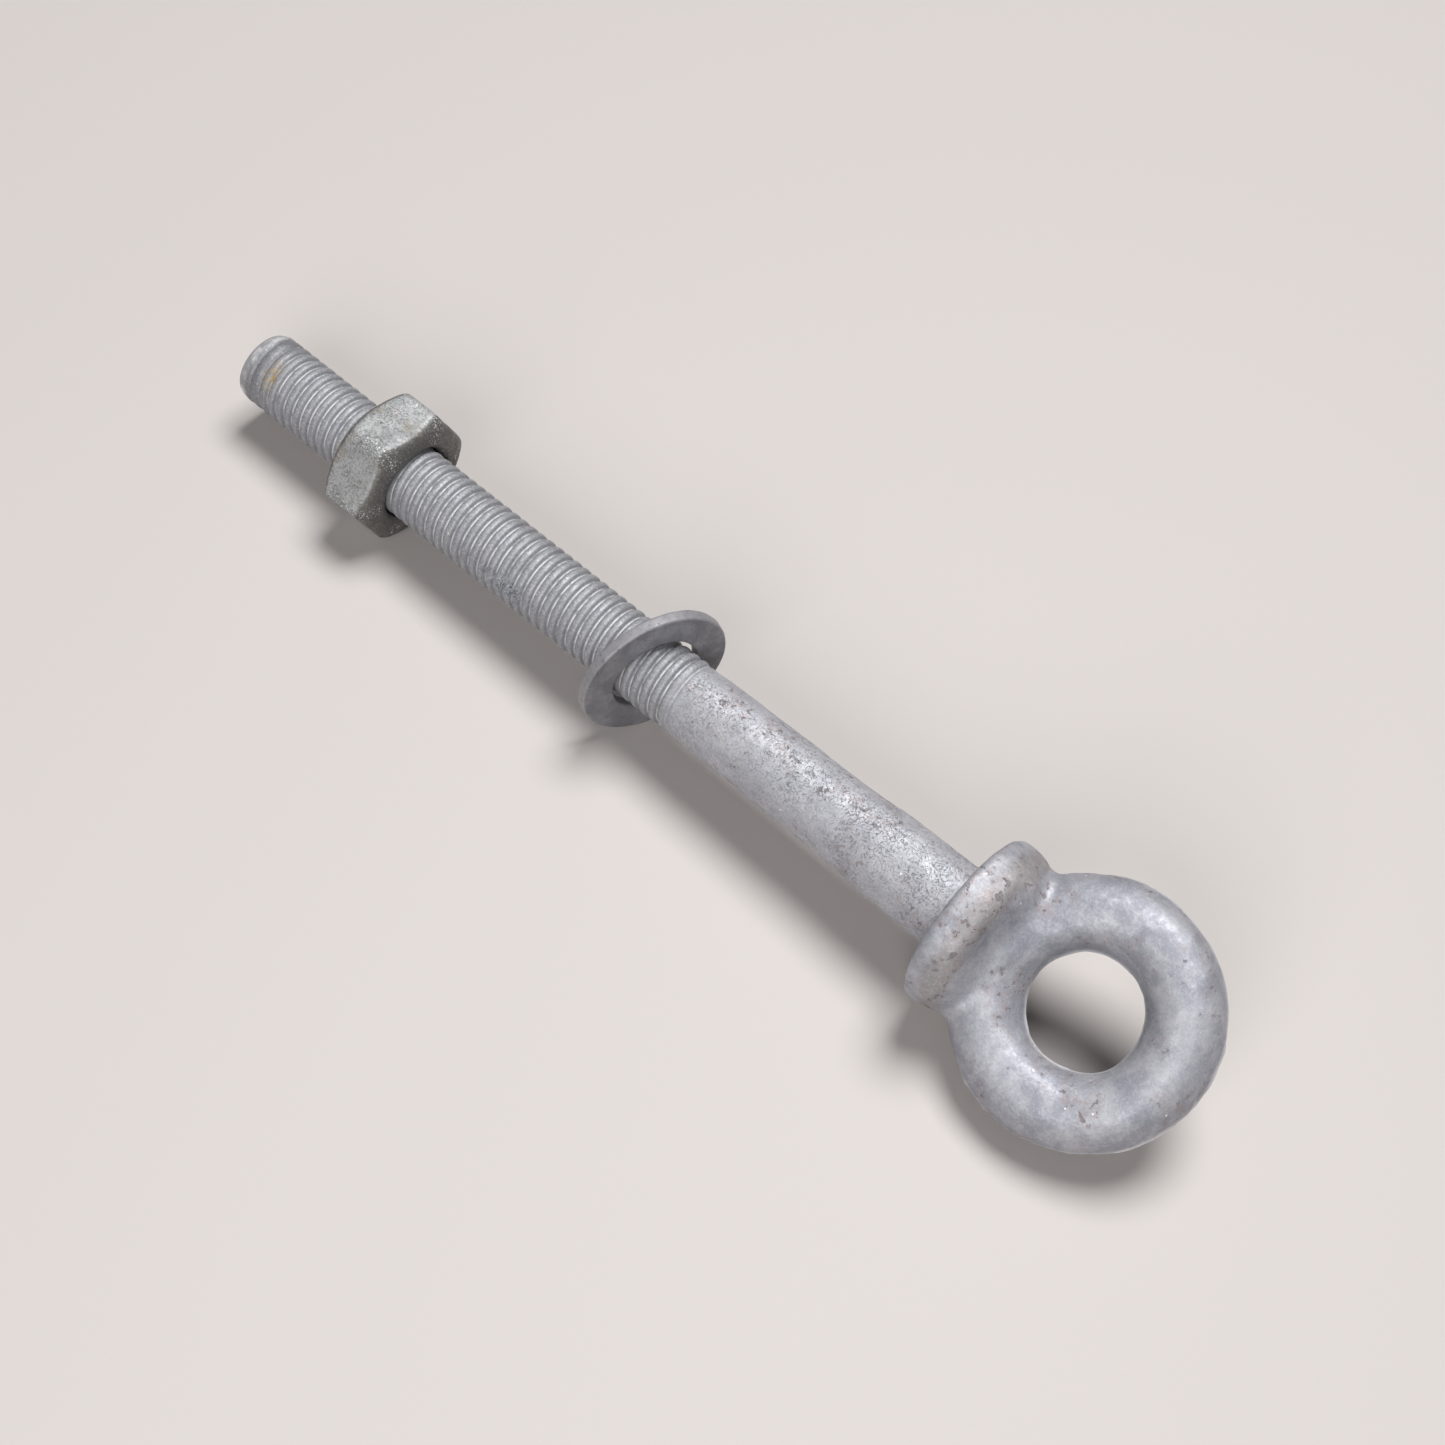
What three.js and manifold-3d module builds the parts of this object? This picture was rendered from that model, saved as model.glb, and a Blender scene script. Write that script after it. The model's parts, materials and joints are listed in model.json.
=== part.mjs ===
// A forged, hot-dip galvanised eye bolt with its hex nut and flat washer, M10 size.
// It lies on a level surface: the nut rests on one flat, and the collar on its rim.
// Units are millimetres. +Z is up, and +X runs along the bolt towards the eye.
// The bolt's own frame has its axis along X, with x = 0 on the collar's seat.
import * as THREE from "three";
import { mergeVertices } from "three/addons/utils/BufferGeometryUtils.js";
import Module from "manifold-3d";

// Thread, with the zinc on it
const THREAD_DIAMETER = 9.55;
const THREAD_PITCH = 1.5;
const THREAD_DEPTH = 0.6;
const THREAD_START = -115.9;
const THREAD_END = -41.1;
const THREAD_RUN_IN = 1;
const THREAD_RUN_OUT = 2.2;
const TIP_RADIUS = 4.45;
const TIP_CHAMFER = 0.8;

// Plain shank, which swells towards the collar
const SHANK_DIAMETER = 9.6;
const SHANK_WAIST_X = -16;
const SHANK_WAIST_DIAMETER = 9.8;
const SHANK_SWELL_X = -12;
const SHANK_SWELL_DIAMETER = 10.6;
const SHANK_ROOT_DIAMETER = 10.8;

// Collar and eye
const SEAT_DIAMETER = 21.2;
const COLLAR_DIAMETER = 22;
const COLLAR_WIDEST_X = 1.1;
const EYE_HOLE_DIAMETER = 13.7;
const EYE_BAR_DIAMETER = 8.65;
const EYE_CENTRE_X = 17.6;
const EYE_ROLL = THREE.MathUtils.degToRad(34.5);

// Hex nut
const NUT_ACROSS_FLATS = 16.3;
const NUT_HEIGHT = 8;
const NUT_X = -92.3;
const NUT_BORE_DIAMETER = 9.95;
const NUT_MOUTH_DIAMETER = 10.9;
const NUT_FACE_DIAMETER = 14.8;
const NUT_CHAMFER_ANGLE = THREE.MathUtils.degToRad(32);

// Flat washer, which stands on its rim, turned about the vertical as far as its loose hole allows
const WASHER_DIAMETER = 19.3;
const WASHER_HOLE_DIAMETER = 11.1;
const WASHER_THICKNESS = 1.5;
const WASHER_EDGE_RADIUS = 0.3;
const WASHER_X = -48;
const WASHER_TURN = THREE.MathUtils.degToRad(-20);

// Segments round each turned or swept shape
const THREAD_SEGMENTS = 16;
const TURNED_SEGMENTS = 32;
const EYE_BAR_SEGMENTS = 18;
const EYE_RING_SEGMENTS = 40;
const CUT_MARGIN = 1;

const wasm = await Module();
wasm.setup();

// A closed three.js geometry as a solid that can be joined or cut.
function toSolid(geometry) {
  const bare = geometry.clone();
  bare.deleteAttribute("normal");
  bare.deleteAttribute("uv");
  const merged = mergeVertices(bare, 1e-4);
  return new wasm.Manifold(
    new wasm.Mesh({
      numProp: 3,
      vertProperties: new Float32Array(merged.attributes.position.array),
      triVerts: new Uint32Array(merged.index.array),
    }),
  );
}

// A solid as a three.js geometry, flat shaded.
function toGeometry(solid) {
  const { vertProperties, triVerts } = solid.getMesh();
  const geometry = new THREE.BufferGeometry();
  geometry.setAttribute("position", new THREE.BufferAttribute(vertProperties, 3));
  geometry.setIndex(new THREE.BufferAttribute(triVerts, 1));
  const faceted = geometry.toNonIndexed();
  faceted.computeVertexNormals();
  return faceted;
}

// An outline of [x, radius] points turned about the X axis.
function turned(outline, segments = TURNED_SEGMENTS) {
  const points = outline.map(([x, radius]) => new THREE.Vector2(radius, x));
  return new THREE.LatheGeometry(points, segments).rotateZ(-Math.PI / 2);
}

// One pitch of thread, as [share of the pitch, share of the depth that the groove takes].
function threadProfile() {
  return [
    [0, 0],
    [0.36, 0],
    [0.68, 1],
  ];
}

// The thread's radius at x. The groove runs in at the chamfered end and runs out into the plain shank.
function threadRadius(x, grooveShare) {
  const { lerp, smoothstep } = THREE.MathUtils;
  const crest = THREAD_DIAMETER / 2;
  const runIn = smoothstep(x, THREAD_START, THREAD_START + THREAD_RUN_IN);
  const cut = crest - THREAD_DEPTH * grooveShare * runIn;
  const runOut = smoothstep(x, THREAD_END - THREAD_RUN_OUT, THREAD_END);
  const chamfer = lerp(TIP_RADIUS, crest, (x - THREAD_START) / TIP_CHAMFER);
  return Math.min(chamfer, lerp(cut, SHANK_DIAMETER / 2, runOut));
}

// A right-hand thread: rows that follow the helix, held between the two ends, with a flat cap on each.
function threadedRod() {
  const profile = threadProfile();
  const turns = Math.ceil((THREAD_END - THREAD_START) / THREAD_PITCH) + 2;
  const rows = turns * profile.length;
  const columns = THREAD_SEGMENTS;
  const positions = [];
  for (let row = 0; row <= rows; row++) {
    const [share, grooveShare] = profile[row % profile.length];
    const turn = Math.floor(row / profile.length) - 1;
    for (let column = 0; column <= columns; column++) {
      const round = column / columns;
      const helixX = THREAD_START + (turn + share + round) * THREAD_PITCH;
      const x = THREE.MathUtils.clamp(helixX, THREAD_START, THREAD_END);
      const r = threadRadius(x, grooveShare);
      const angle = 2 * Math.PI * (round % 1);
      positions.push(x, r * Math.cos(angle), r * Math.sin(angle));
    }
  }
  positions.push(THREAD_START, 0, 0, THREAD_END, 0, 0);
  const at = (row, column) => row * (columns + 1) + column;
  const startCentre = at(rows + 1, 0);
  const endCentre = startCentre + 1;
  const triangles = [];
  for (let column = 0; column < columns; column++) {
    triangles.push(startCentre, at(0, column + 1), at(0, column));
    triangles.push(endCentre, at(rows, column), at(rows, column + 1));
    for (let row = 0; row < rows; row++) {
      triangles.push(at(row, column), at(row, column + 1), at(row + 1, column + 1));
      triangles.push(at(row, column), at(row + 1, column + 1), at(row + 1, column));
    }
  }
  const geometry = new THREE.BufferGeometry();
  geometry.setAttribute("position", new THREE.Float32BufferAttribute(positions, 3));
  geometry.setIndex(triangles);
  return geometry;
}

// The plain shank and the collar, which is flat on its seat and falls away in a hollow towards the eye.
function shankAndCollar() {
  const spigotX = THREAD_END - 2;
  const spigotRadius = THREAD_DIAMETER / 2 - 2 * THREAD_DEPTH;
  const collarRadius = COLLAR_DIAMETER / 2;
  return turned([
    [spigotX, 0],
    [spigotX, spigotRadius],
    [THREAD_END, spigotRadius],
    [THREAD_END, SHANK_DIAMETER / 2],
    [SHANK_WAIST_X, SHANK_WAIST_DIAMETER / 2],
    [SHANK_SWELL_X, SHANK_SWELL_DIAMETER / 2],
    [-0.5, SHANK_ROOT_DIAMETER / 2],
    [0, SHANK_ROOT_DIAMETER / 2 + 0.5],
    [0, SEAT_DIAMETER / 2],
    [0.4, collarRadius - 0.1],
    [COLLAR_WIDEST_X, collarRadius],
    [3, collarRadius - 0.3],
    [4.5, 9.9],
    [5.4, 8.5],
    [6.2, 6.6],
    [7.4, 5],
    [9, 3.2],
    [9, 0],
  ]);
}

// The eye: a round bar bent into a full ring.
function eyeRing() {
  const ringRadius = (EYE_HOLE_DIAMETER + EYE_BAR_DIAMETER) / 2;
  return new THREE.TorusGeometry(
    ringRadius,
    EYE_BAR_DIAMETER / 2,
    EYE_BAR_SEGMENTS,
    EYE_RING_SEGMENTS,
  ).translate(EYE_CENTRE_X, 0, 0);
}

function eyeBolt() {
  const forging = toSolid(eyeRing()).add(toSolid(shankAndCollar()));
  return toGeometry(forging.add(toSolid(threadedRod()))).rotateX(EYE_ROLL);
}

// A cone frustum pair that takes the corners off both faces of the nut.
function nutChamferEnvelope() {
  const half = NUT_HEIGHT / 2;
  const faceRadius = NUT_FACE_DIAMETER / 2;
  const outerRadius = NUT_ACROSS_FLATS * 0.7;
  const slope = (outerRadius - faceRadius) * Math.tan(NUT_CHAMFER_ANGLE);
  return turned([
    [-half, 0],
    [-half, faceRadius],
    [-half + slope, outerRadius],
    [half - slope, outerRadius],
    [half, faceRadius],
    [half, 0],
  ]);
}

// The nut's bore, with a countersink at each mouth.
function nutBoreCutter() {
  const half = NUT_HEIGHT / 2;
  const bore = NUT_BORE_DIAMETER / 2;
  const mouth = NUT_MOUTH_DIAMETER / 2;
  const sink = mouth - bore;
  return turned([
    [-half - CUT_MARGIN, 0],
    [-half - CUT_MARGIN, mouth + CUT_MARGIN],
    [-half + sink, bore],
    [half - sink, bore],
    [half + CUT_MARGIN, mouth + CUT_MARGIN],
    [half + CUT_MARGIN, 0],
  ]);
}

// A hexagon with one flat facing down, extruded along the bolt.
function nutBlank() {
  const cornerRadius = NUT_ACROSS_FLATS / Math.sqrt(3);
  const corners = Array.from({ length: 6 }, (_, i) => {
    const angle = (i * Math.PI) / 3;
    return new THREE.Vector2(cornerRadius * Math.cos(angle), cornerRadius * Math.sin(angle));
  });
  return new THREE.ExtrudeGeometry(new THREE.Shape(corners), {
    depth: NUT_HEIGHT,
    bevelEnabled: false,
  })
    .translate(0, 0, -NUT_HEIGHT / 2)
    .rotateY(Math.PI / 2)
    .rotateX(Math.PI / 2);
}

function hexNut() {
  const blank = toSolid(nutBlank()).intersect(toSolid(nutChamferEnvelope()));
  return toGeometry(blank.subtract(toSolid(nutBoreCutter())));
}

function flatWasher() {
  const outer = WASHER_DIAMETER / 2;
  const hole = WASHER_HOLE_DIAMETER / 2;
  const half = WASHER_THICKNESS / 2;
  const edge = WASHER_EDGE_RADIUS;
  return turned([
    [-half, hole],
    [-half, outer - edge],
    [-half + edge, outer],
    [half - edge, outer],
    [half, outer - edge],
    [half, hole],
    [-half, hole],
  ]);
}

function galvanised(colour, roughness) {
  return new THREE.MeshStandardMaterial({ color: colour, roughness, metalness: 0.85 });
}

function named(name, geometry, material) {
  const mesh = new THREE.Mesh(geometry, material);
  mesh.name = name;
  return mesh;
}

// The slope at which the axis climbs from the nut's flat to the collar's larger rim.
function restingSlope() {
  const rise = COLLAR_DIAMETER / 2 - NUT_ACROSS_FLATS / 2;
  const run = COLLAR_WIDEST_X - (NUT_X - NUT_HEIGHT / 2);
  return Math.atan(rise / run);
}

// How far the washer is lifted off the bolt's axis by standing on the surface.
function washerLift() {
  const drop = (COLLAR_WIDEST_X - WASHER_X) * Math.tan(restingSlope());
  const axisHeight = COLLAR_DIAMETER / 2 - drop;
  return WASHER_DIAMETER / 2 - axisHeight;
}

const nut = named("hex_nut", hexNut(), galvanised(0x828482, 0.6));
nut.position.x = NUT_X;

const washer = named("flat_washer", flatWasher(), galvanised(0x8a888a, 0.6));
washer.position.set(WASHER_X, 0, washerLift());
washer.rotation.z = WASHER_TURN;

const assembly = new THREE.Group();
assembly.add(named("eye_bolt", eyeBolt(), galvanised(0xa5a4aa, 0.5)), nut, washer);
assembly.rotation.y = -restingSlope();

// The origin is under the middle of the object, on the surface that it lies on.
const box = new THREE.Box3().setFromObject(assembly, true);
const middle = box.getCenter(new THREE.Vector3());
assembly.position.set(-middle.x, -middle.y, -box.min.z);

const eyeBoltAssembly = new THREE.Group();
eyeBoltAssembly.add(assembly);

export default eyeBoltAssembly;
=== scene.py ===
"""A forged, hot-dip galvanised eye bolt with its hex nut and flat washer, lying on a pale floor.

Shapes are worked out in millimetres in each piece's own frame, whose X runs along its axis,
and then placed in the row frame in metres. The bolt's own frame has x = 0 on the collar's seat
and the eye's ring in its XY plane.
"""

import json
import math
from collections import namedtuple

import bmesh
import bpy
import numpy as np
from mathutils import Matrix, Vector, noise

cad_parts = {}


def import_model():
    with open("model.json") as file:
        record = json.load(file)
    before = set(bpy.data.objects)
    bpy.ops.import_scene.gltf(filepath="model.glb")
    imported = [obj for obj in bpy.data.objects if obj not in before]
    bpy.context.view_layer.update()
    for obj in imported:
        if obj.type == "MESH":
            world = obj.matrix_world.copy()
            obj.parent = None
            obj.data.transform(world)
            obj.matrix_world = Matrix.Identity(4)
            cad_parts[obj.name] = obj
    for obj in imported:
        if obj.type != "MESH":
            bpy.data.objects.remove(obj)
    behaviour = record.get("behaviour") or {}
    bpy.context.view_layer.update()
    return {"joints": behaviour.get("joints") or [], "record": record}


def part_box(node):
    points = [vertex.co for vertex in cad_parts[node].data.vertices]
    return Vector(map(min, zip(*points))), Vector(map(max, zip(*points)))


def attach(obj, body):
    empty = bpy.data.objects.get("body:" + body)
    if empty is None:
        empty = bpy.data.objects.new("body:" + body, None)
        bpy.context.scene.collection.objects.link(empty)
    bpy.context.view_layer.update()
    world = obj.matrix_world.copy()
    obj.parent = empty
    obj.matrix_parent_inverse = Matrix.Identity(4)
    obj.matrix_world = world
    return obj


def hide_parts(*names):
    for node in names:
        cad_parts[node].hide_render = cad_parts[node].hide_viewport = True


MM = 0.001

# Lumps in a surface: how far apart they are and how high, in millimetres
Lump = namedtuple("Lump", "size height")

# Bolt: thread
THREAD_RADIUS = 4.775
THREAD_PITCH = 1.5
THREAD_DEPTH = 0.6
THREAD_START = -115.9
THREAD_END = -41.1
THREAD_RUN_IN = 6.0
THREAD_FIRST_SHARE = 0.35
THREAD_RUN_OUT = 2.6
TIP_RADIUS = 4.45
TIP_CHAMFER = 0.8
ROWS_PER_PITCH = 9
COLUMNS = 64

# Bolt: shank as (x, radius), where the voxel head takes over from the turned grid, and grid steps
SHANK_OUTLINE = [
    (-41.1, 4.6),
    (-39.0, 4.74),
    (-36.0, 4.8),
    (-30.0, 4.87),
    (-22.0, 4.9),
    (-17.6, 4.95),
    (-14.5, 5.05),
    (-12.2, 5.26),
    (-8.0, 5.32),
    (-2.0, 5.4),
    (-0.5, 5.5),
]
SHANK_ROOT = SHANK_OUTLINE[5:]
JOIN_X = -15.0
HEAD_START_X = -16.5
SHANK_STEP = 0.5

# Bolt: collar outlines as (x, radius), towards the ring's faces and in the ring's plane
COLLAR_SEAT = [(0.0, 6.0), (0.0, 8.0), (0.02, 10.0), (0.2, 10.65), (0.7, 10.95)]
COLLAR_FACE_SIDE = [
    (1.6, 10.95),
    (2.8, 10.75),
    (3.9, 10.4),
    (4.6, 9.8),
    (5.1, 8.8),
    (5.5, 7.6),
    (6.0, 6.4),
    (6.8, 5.4),
    (7.9, 4.4),
    (9.0, 3.0),
]
COLLAR_PLANE_SIDE = [
    (1.5, 11.0),
    (2.5, 10.9),
    (3.5, 10.65),
    (4.5, 10.3),
    (5.5, 9.9),
    (6.5, 9.1),
    (7.5, 7.3),
    (8.5, 4.4),
    (9.0, 3.0),
]

# Bolt: the uneven surface of the forging, and the finer one of the thread
SHANK_LUMP = Lump(size=6.0, height=0.08)
HEAD_LUMP = Lump(size=6.0, height=0.13)
SHANK_DENT = Lump(size=1.6, height=0.035)
THREAD_DENT = Lump(size=1.1, height=0.02)

# Bolt: a yellow stain and a scraped place on the thread, at x and an angle in degrees about the axis
STAIN = {"x": -111.3, "angle": 95, "length": 0.9, "width": 1.6}
NICK = {"x": -68.6, "angle": 130, "length": 3.6, "width": 1.1}

# Bolt: eye
EYE_CENTRE_X = 17.6
EYE_RING_RADIUS = 11.175
EYE_BAR_RADIUS = 4.325
EYE_ROLL = math.radians(34.5)
EYE_FILLET = 1.5
COLLAR_REACH_X = 12.0
FLASH_HEIGHT = 0.3
FLASH_WIDTH = 0.35
HEAD_VOXEL = 0.25

# Nut
NUT_ACROSS_FLATS = 16.3
NUT_HEIGHT = 8.0
NUT_BORE_RADIUS = 4.98
NUT_THREAD_DEPTH = 0.5
NUT_MOUTH_RADIUS = 5.45
NUT_FACE_RADIUS = 7.4
NUT_CHAMFER_ANGLE = math.radians(32)
NUT_EDGE_ROUND = 0.7
NUT_THREAD_ROUND = 0.35
NUT_LUMP = Lump(size=4.5, height=0.07)
NUT_DENT = Lump(size=1.3, height=0.03)
NUT_EDGE_WIDTH = 1.1
NUT_VOXEL = 0.2

# Washer
WASHER_RADIUS = 9.65
WASHER_HOLE_RADIUS = 5.55
WASHER_THICKNESS = 1.5
WASHER_EDGE = 0.32
WASHER_SEGMENTS = 144
WASHER_FACE_RINGS = 14
WASHER_LUMP = Lump(size=4.0, height=0.05)
WASHER_DENT = Lump(size=1.4, height=0.03)

# The collar seat's mount stands this far above the bolt's axis
SEAT_MOUNT_HEIGHT = 8.0

# Camera
CAMERA_TARGET = Vector((0.0008, 0.0063, 0.0))
CAMERA_DISTANCE = 0.3034
CAMERA_AZIMUTH = math.radians(31.53)
CAMERA_ELEVATION = math.radians(54.71)
CAMERA_ROLL = math.radians(12.58)
CAMERA_LENS = 61.29

# Lights, placed and pointed in metres, with a width in metres and a power in watts
KEY_LIGHT = {"place": (-0.05, 0.32, 1.0), "target": (0, 0, 0), "size": 0.56, "power": 13.6}
FILL_LIGHT = {"place": (0.25, -0.75, 0.5), "target": (0.12, -0.4, 0), "size": 0.6, "power": 6.4}
WORLD_COLOUR = (0.92, 0.93, 0.96, 1)
WORLD_STRENGTH = 0.09

FLOOR_SIZE = 3.0


# ---------------------------------------------------------------- geometry helpers


def smooth_curve(points, per_span=4):
    """A Catmull-Rom curve through the points, as an array of points."""
    knots = np.array([points[0], *points, points[-1]], float)
    steps = np.linspace(0, 1, per_span, endpoint=False)[:, None]
    spans = []
    for a, b, c, d in zip(knots, knots[1:], knots[2:], knots[3:]):
        cubic = -a + 3 * b - 3 * c + d
        square = 2 * a - 5 * b + 4 * c - d
        spans.append(b + 0.5 * ((c - a) * steps + square * steps**2 + cubic * steps**3))
    return np.vstack([*spans, knots[-1]])


def revolved_distance(points, outline):
    """Signed distance from points to an (x, radius) outline turned about X, negative inside.

    The outline starts and ends on the axis."""
    flat = np.stack([points[:, 0], np.hypot(points[:, 1], points[:, 2])], 1)
    nearest = np.full(len(points), np.inf)
    inside = np.zeros(len(points), bool)
    for start, end in zip(outline, outline[1:]):
        edge = end - start
        offset = flat - start
        along = np.clip(offset @ edge / (edge @ edge), 0, 1)
        nearest = np.minimum(nearest, ((offset - along[:, None] * edge) ** 2).sum(1))
        crosses = (start[1] > flat[:, 1]) != (end[1] > flat[:, 1])
        if edge[1]:
            reach = start[0] + (flat[:, 1] - start[1]) * edge[0] / edge[1]
            inside ^= crosses & (flat[:, 0] < reach)
    return np.sqrt(nearest) * np.where(inside, -1, 1)


def smooth_union(a, b, width):
    blend = np.maximum(width - np.abs(a - b), 0) / width
    return np.minimum(a, b) - blend**2 * width / 4


def smooth_cut(a, b, width):
    """Where both distances are negative, with the shared edge rounded."""
    return -smooth_union(-a, -b, width)


def settle(points, distance, rounds=4, step=0.02):
    """Moves points along the distance's slope onto the surface where it is zero."""
    for _ in range(rounds):
        here = distance(points)
        slope = [(distance(points + step * axis) - here) / step for axis in np.eye(3)]
        slope = np.stack(slope, 1)
        steepness = np.maximum((slope**2).sum(1), 0.05)
        points = points - slope * (here / steepness)[:, None]
    return points


def mesh_object(name, vertices, faces):
    mesh = bpy.data.meshes.new(name)
    mesh.from_pydata(vertices, [], faces)
    mesh.update()
    made = bpy.data.objects.new(name, mesh)
    bpy.context.scene.collection.objects.link(made)
    return made


def vertex_array(mesh):
    flat = np.zeros(len(mesh.vertices) * 3)
    mesh.vertices.foreach_get("co", flat)
    return flat.reshape(-1, 3)


def set_vertices(mesh, points):
    mesh.vertices.foreach_set("co", np.asarray(points, float).ravel())
    mesh.update()


def turned_grid(outline, columns):
    """Vertices and faces of an (x, radius) outline turned about X, with a ring of vertices for each point."""
    vertices = []
    faces = []
    for x, radius in outline:
        for column in range(columns):
            angle = 2 * math.pi * column / columns
            vertices.append((x, radius * math.cos(angle), radius * math.sin(angle)))
    for row in range(len(outline) - 1):
        for column in range(columns):
            after = (column + 1) % columns
            corners = [(row, column), (row, after), (row + 1, after), (row + 1, column)]
            faces.append([r * columns + c for r, c in corners])
    return vertices, faces


def closed_voxels(name, solids, voxel):
    """One closed skin round several overlapping solids, each given as vertices and faces."""
    vertices = []
    faces = []
    for solid_vertices, solid_faces in solids:
        base = len(vertices)
        vertices.extend(solid_vertices)
        faces.extend([[base + corner for corner in face] for face in solid_faces])
    made = mesh_object(name, vertices, faces)
    clean = bmesh.new()
    clean.from_mesh(made.data)
    bmesh.ops.remove_doubles(clean, verts=clean.verts, dist=1e-4)
    bmesh.ops.recalc_face_normals(clean, faces=clean.faces)
    clean.to_mesh(made.data)
    clean.free()
    remesh = made.modifiers.new("skin", "REMESH")
    remesh.mode = "VOXEL"
    remesh.voxel_size = voxel
    apply_modifiers(made)
    return made


def apply_modifiers(made):
    graph = bpy.context.evaluated_depsgraph_get()
    baked = bpy.data.meshes.new_from_object(made.evaluated_get(graph))
    old = made.data
    made.modifiers.clear()
    made.data = baked
    bpy.data.meshes.remove(old)


def fractal(points, size, octaves, offset):
    """Smooth noise of about -1 to 1, with features of the given size in millimetres."""
    shift = Vector((offset, 1.7 * offset, -2.3 * offset))
    values = [noise.fractal(Vector(p) / size + shift, 0.9, 2.1, octaves) for p in points]
    return np.array(values)


def lumps(points, lump, octaves, offset):
    return fractal(points, lump.size, octaves, offset) * lump.height


def vertex_normals(mesh):
    flat = np.zeros(len(mesh.vertices) * 3)
    mesh.vertices.foreach_get("normal", flat)
    return flat.reshape(-1, 3)


def push(mesh, amounts):
    """Moves each vertex along its normal."""
    set_vertices(mesh, vertex_array(mesh) + vertex_normals(mesh) * amounts[:, None])


def set_attribute(mesh, name, values):
    attribute = mesh.attributes.new(name, "FLOAT", "POINT")
    attribute.data.foreach_set("value", np.asarray(values, np.float32))


def finish_mesh(made, placement, sharp_angle=50):
    """Places a piece made in millimetres in the row frame in metres, and shades it smooth."""
    made.data.transform(placement @ Matrix.Scale(MM, 4))
    made.data.polygons.foreach_set("use_smooth", [True] * len(made.data.polygons))
    made.data.set_sharp_from_angle(angle=math.radians(sharp_angle))
    made.data.update()
    return made


# ---------------------------------------------------------------- placements


def resting_axes(frame):
    """The bolt's axis and the direction at right angles to it that points most nearly up."""
    axis = Vector(frame["joints"][0]["axis"]).normalized()
    side = Vector((0, 1, 0))
    return axis, side, axis.cross(side)


def placement(centre, along, side, up):
    columns = Matrix((along, side, up)).transposed().to_4x4()
    return Matrix.Translation(centre) @ columns


def bolt_placement(frame):
    axis, side, up = resting_axes(frame)
    mounts = {mount["name"]: mount for mount in frame["record"]["mounts"]}
    seat = Vector(mounts["collar_seat"]["pos_m"]) - up * SEAT_MOUNT_HEIGHT * MM
    return placement(seat, axis, side, up) @ Matrix.Rotation(EYE_ROLL, 4, "X")


def box_centre(node):
    low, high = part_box(node)
    return (low + high) / 2


def nut_placement(frame):
    return placement(box_centre("hex_nut"), *resting_axes(frame))


def washer_placement(frame):
    _, _, up = resting_axes(frame)
    mounts = {mount["name"]: mount for mount in frame["record"]["mounts"]}
    along = Vector(mounts["washer_face"]["axis"]).normalized()
    return placement(box_centre("flat_washer"), along, up.cross(along), up)


# ---------------------------------------------------------------- eye bolt


def groove_share(phase):
    """How deep the thread's groove is at a phase of its pitch: broad round crests, and a narrow root."""
    lobe = np.abs(2 * phase - 1) ** 3
    return np.clip(lobe * 1.06, 0, 1)


def smoothstep(x, start, end):
    t = np.clip((x - start) / (end - start), 0, 1)
    return t * t * (3 - 2 * t)


def band(x, rise, fall):
    """Rises from 0 to 1 over one pair of places, and falls back to 0 over another."""
    return smoothstep(x, *rise) * (1 - smoothstep(x, *fall))


def thread_radius(x, share, shank):
    """The radius at x, where share says how deep in the thread's groove it is."""
    faded = smoothstep(x, THREAD_START + 0.3 * THREAD_RUN_IN, THREAD_START + THREAD_RUN_IN)
    run_in = THREAD_FIRST_SHARE + (1 - THREAD_FIRST_SHARE) * faded
    run_in = run_in * smoothstep(x, THREAD_START, THREAD_START + TIP_CHAMFER)
    run_out = smoothstep(x, THREAD_END - THREAD_RUN_OUT, THREAD_END)
    cut = THREAD_RADIUS - THREAD_DEPTH * share * run_in
    plain = shank[0, 1]
    chamfer = TIP_RADIUS + (THREAD_RADIUS - TIP_RADIUS) * (x - THREAD_START) / TIP_CHAMFER
    return np.minimum(chamfer, cut + (plain - cut) * run_out)


def ring_of_points(x, radius):
    """Points round the axis, with the last on top of the first. x and radius are numbers or arrays."""
    angle = 2 * math.pi * np.arange(COLUMNS + 1) / COLUMNS
    return np.stack([x + 0 * angle, radius * np.cos(angle), radius * np.sin(angle)], 1)


def end_face_rows():
    return [ring_of_points(THREAD_START, TIP_RADIUS * share) for share in (0.0, 0.25, 0.5, 0.75, 0.93)]


def threaded_rows(shank):
    """Rows that follow the helix, held between the two ends of the thread."""
    turns = math.ceil((THREAD_END - THREAD_START) / THREAD_PITCH) + 2
    round_share = np.arange(COLUMNS + 1) / COLUMNS
    rows = []
    for row in range(turns * ROWS_PER_PITCH + 1):
        phase = (row % ROWS_PER_PITCH) / ROWS_PER_PITCH
        helix = THREAD_START + (row / ROWS_PER_PITCH - 1 + round_share) * THREAD_PITCH
        x = np.clip(helix, THREAD_START, THREAD_END)
        rows.append(ring_of_points(x, thread_radius(x, groove_share(phase), shank)))
    return rows


def plain_rows(shank):
    """Rings along the plain shank, from the thread to the join with the head."""
    places = np.arange(THREAD_END + SHANK_STEP, JOIN_X - 0.3 * SHANK_STEP, SHANK_STEP)
    return [ring_of_points(x, np.interp(x, shank[:, 0], shank[:, 1])) for x in places]


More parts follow.
